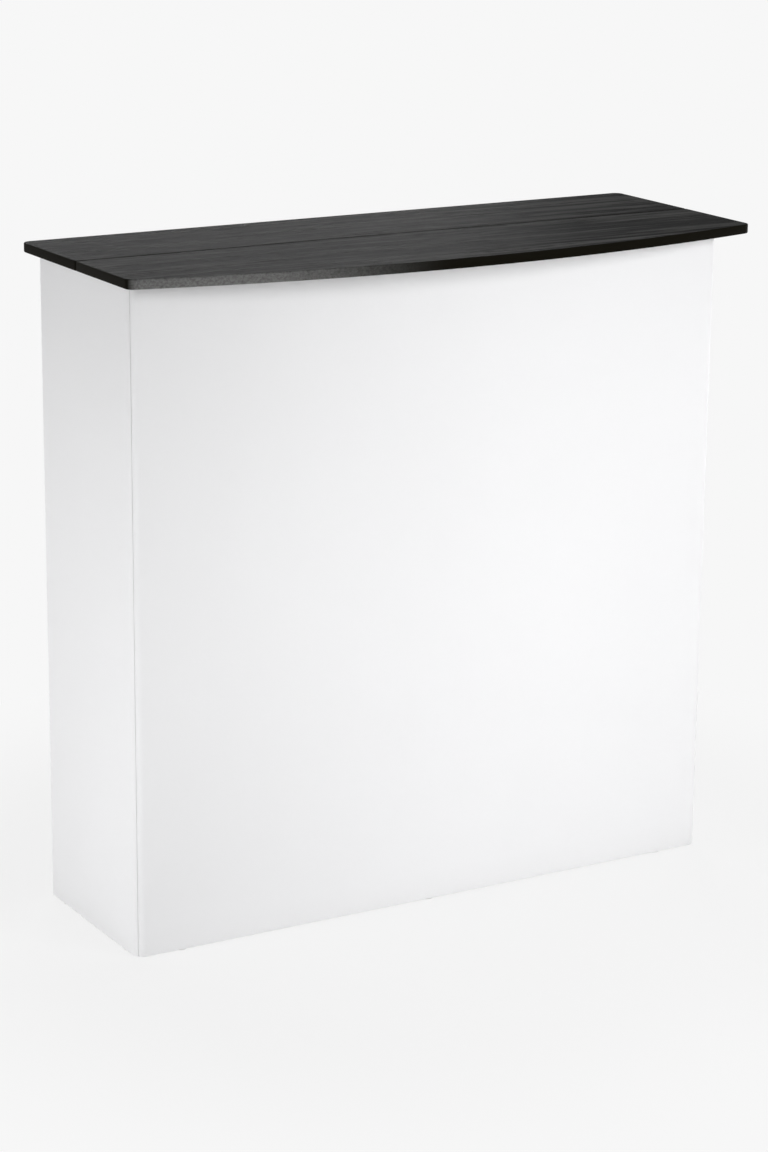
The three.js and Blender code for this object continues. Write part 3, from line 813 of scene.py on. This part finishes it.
# Lamps: name, place, target, width and height in metres, and watts
LAMPS = (
    ("front_softbox", (0.46, -1.5, 1.43), (0.25, 0, 0.7), (0.9, 0.4), 9.9),
    ("high_softbox", (1.0, -2.6, 1.65), (0.5, 0, 0.5), (0.8, 0.5), 8.2),
    ("low_softbox", (0.24, -1.6, 0.26), (0.15, 0, 0.2), (1.2, 0.3), 7.2),
    ("right_softbox", (2.6, 0.1, 0.5), (0.5, 0.05, 0.4), (1.4, 0.8), 12),
    ("left_softbox", (-2.3, -0.3, 0.4), (-0.5, 0.0, 0.4), (1.0, 0.5), 18.5),
    ("rear_left_softbox", (-2.2, 1.2, 0.5), (-0.5, 0.05, 0.4), (1.0, 0.6), 2),
    ("overhead_softbox", (0.0, 0.0, 3.6), (0, 0, 1.0), (2.5, 2.5), 14),
    ("rear_softbox", (0.85, 3.0, 1.65), (0, 0, 1.0), (2.3, 0.8), 20),
    ("rear_fill_softbox", (1.3, 3.4, 0.7), (0, 0, 0.5), (1.6, 0.9), 54),
)


def seen_directly(tree):
    """One for the rays that show the background: from the eye, in gloss, and through glass."""
    eye = node(tree, "ShaderNodeLightPath", out="Is Camera Ray")
    gloss = node(tree, "ShaderNodeLightPath", out="Is Glossy Ray")
    glass = node(tree, "ShaderNodeLightPath", out="Is Transmission Ray")
    shiny = node(tree, "ShaderNodeMath", {0: gloss, 1: glass}, operation="ADD")
    return node(tree, "ShaderNodeMath", {0: eye, 1: shiny}, operation="ADD", use_clamp=True)


def studio_floor():
    """A pale seamless floor that glows like the background and keeps the bar's shadow round its foot."""
    mesh = bpy.data.meshes.new("studio_floor")
    corners = np.array([(-1, -1, 0), (1, -1, 0), (1, 1, 0), (-1, 1, 0)]) * FLOOR_HALF
    mesh.from_pydata(corners.tolist(), [], [[0, 1, 2, 3]])
    floor = bpy.data.objects.new("studio_floor", mesh)
    bpy.context.scene.collection.objects.link(floor)
    material = bpy.data.materials.new("pale_paper")
    material.use_nodes = True
    tree = material.node_tree
    tree.nodes.clear()
    place = node(tree, "ShaderNodeTexCoord", out="Object")
    distance = node(tree, "ShaderNodeVectorMath", {0: place}, "Value", operation="LENGTH")
    share = node(tree, "ShaderNodeMapRange", {
        "Value": distance, "From Min": SHADOW_REACH[0], "From Max": SHADOW_REACH[1],
        "To Min": SHADOW_SHARE, "To Max": 0.0}, interpolation_type="SMOOTHSTEP")
    matt = node(tree, "ShaderNodeBsdfDiffuse", {"Color": PAPER})
    glow = node(tree, "ShaderNodeEmission", {"Color": PAPER})
    shown = node(tree, "ShaderNodeMixShader", {0: share, 1: glow, 2: matt})
    node(tree, "ShaderNodeOutputMaterial", {
        "Surface": node(tree, "ShaderNodeMixShader", {0: seen_directly(tree), 1: matt, 2: shown})}, None)
    mesh.materials.append(material)


def studio_dome():
    """A pale dome, brighter towards the horizon: soft light all round, and plain white as a background."""
    world = bpy.data.worlds.new("studio_dome")
    world.use_nodes = True
    tree = world.node_tree
    tree.nodes.clear()
    toward = node(tree, "ShaderNodeTexCoord", out="Generated")
    rise = node(tree, "ShaderNodeSeparateXYZ", {"Vector": toward}, "Z")
    soft = node(tree, "ShaderNodeMapRange", {"Value": rise, "To Min": DOME_HORIZON, "To Max": DOME_ZENITH})
    level = node(tree, "ShaderNodeMix", {0: seen_directly(tree), 2: soft, 3: 1.0})
    background = node(tree, "ShaderNodeBackground", {"Color": PAPER, "Strength": level})
    node(tree, "ShaderNodeOutputWorld", {"Surface": background}, None)
    bpy.context.scene.world = world


def softbox(name, place, target, size, power):
    """A rectangular lamp that faces its target."""
    lamp = bpy.data.lights.new(name, "AREA")
    lamp.shape = "RECTANGLE"
    lamp.size, lamp.size_y = size
    lamp.energy = power
    made = bpy.data.objects.new(name, lamp)
    aim = (Vector(target) - Vector(place)).to_track_quat("-Z", "Y").to_matrix().to_4x4()
    made.matrix_world = Matrix.Translation(place) @ aim
    made.visible_camera = False
    bpy.context.scene.collection.objects.link(made)


def photo_camera():
    """The camera stands front left of the bar, a little above the worktop, and looks down at it."""
    forward = np.array([math.sin(YAW) * math.cos(PITCH), math.cos(YAW) * math.cos(PITCH), -math.sin(PITCH)])
    level = np.array([math.cos(YAW), -math.sin(YAW), 0.0])
    rise = np.cross(level, forward)
    right = level * math.cos(ROLL) + rise * math.sin(ROLL)
    up = rise * math.cos(ROLL) - level * math.sin(ROLL)
    data = bpy.data.cameras.new("camera")
    data.lens = LENS
    data.sensor_width = SENSOR
    data.clip_end = FAR_CLIP
    camera = bpy.data.objects.new("camera", data)
    turn = np.eye(4)
    turn[:3, :3] = np.column_stack([right, up, -forward])
    turn[:3, 3] = EYE
    camera.matrix_world = Matrix(turn.tolist())
    bpy.context.scene.collection.objects.link(camera)
    bpy.context.scene.camera = camera


studio_floor()
studio_dome()
for lamp in LAMPS:
    softbox(*lamp)
photo_camera()
bpy.context.scene.view_settings.view_transform = "Standard"
